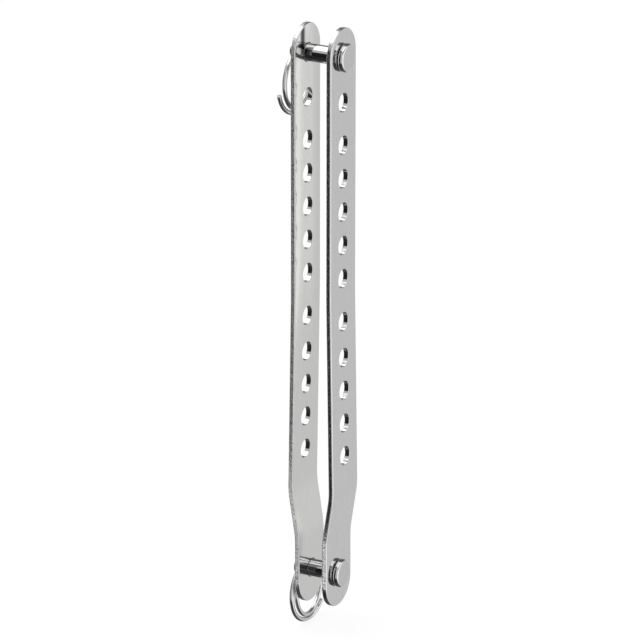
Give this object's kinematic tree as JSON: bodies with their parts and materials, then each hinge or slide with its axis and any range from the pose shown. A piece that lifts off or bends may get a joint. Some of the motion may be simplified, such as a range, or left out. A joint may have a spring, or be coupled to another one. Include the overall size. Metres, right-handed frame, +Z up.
{
  "type": "shroud adjuster",
  "caption": "Rigging shroud adjuster: two long joggled steel plates with rows of holes, joined by clevis pins that split rings secure.",
  "frame": {"origin": "on the lower pin's axis, midway between the plates, which is where the chainplate holds the part", "axes": "+Z up along the plates to the shroud, +X along the pins towards their heads, +Y across the plates' width"},
  "size_m": [0.0181, 0.0215, 0.18],
  "materials": {
    "plate_steel": "polished stainless sheet",
    "pin_steel": "bright turned stainless",
    "ring_wire": "bright drawn wire"
  },
  "bodies": {
    "plates": {"left_plate": "plate_steel", "right_plate": "plate_steel"},
    "upper_pin": {"upper_clevis_pin": "pin_steel"},
    "lower_pin": {"lower_clevis_pin": "pin_steel"},
    "upper_ring": {"upper_split_ring": "ring_wire"},
    "lower_ring": {"lower_split_ring": "ring_wire"}
  },
  "joints": [
    {"name": "upper_pin_turn", "type": "hinge", "parent": "plates", "child": "upper_pin", "pos_m": [0, 0, 0.1536], "axis": [1, 0, 0], "continuous": true},
    {"name": "lower_pin_turn", "type": "hinge", "parent": "plates", "child": "lower_pin", "pos_m": [0, 0, 0], "axis": [1, 0, 0], "range_deg": [-140, 100]},
    {"name": "upper_ring_swing", "type": "hinge", "parent": "upper_pin", "child": "upper_ring", "pos_m": [-0.0081, 0, 0.1536], "axis": [0, 0.9903, 0.1392], "range_deg": [0, 176]},
    {"name": "lower_ring_swing", "type": "hinge", "parent": "lower_pin", "child": "lower_ring", "pos_m": [-0.00685, 0, 0], "axis": [0, 0.9455, 0.3256], "range_deg": [0, 180]}
  ]
}
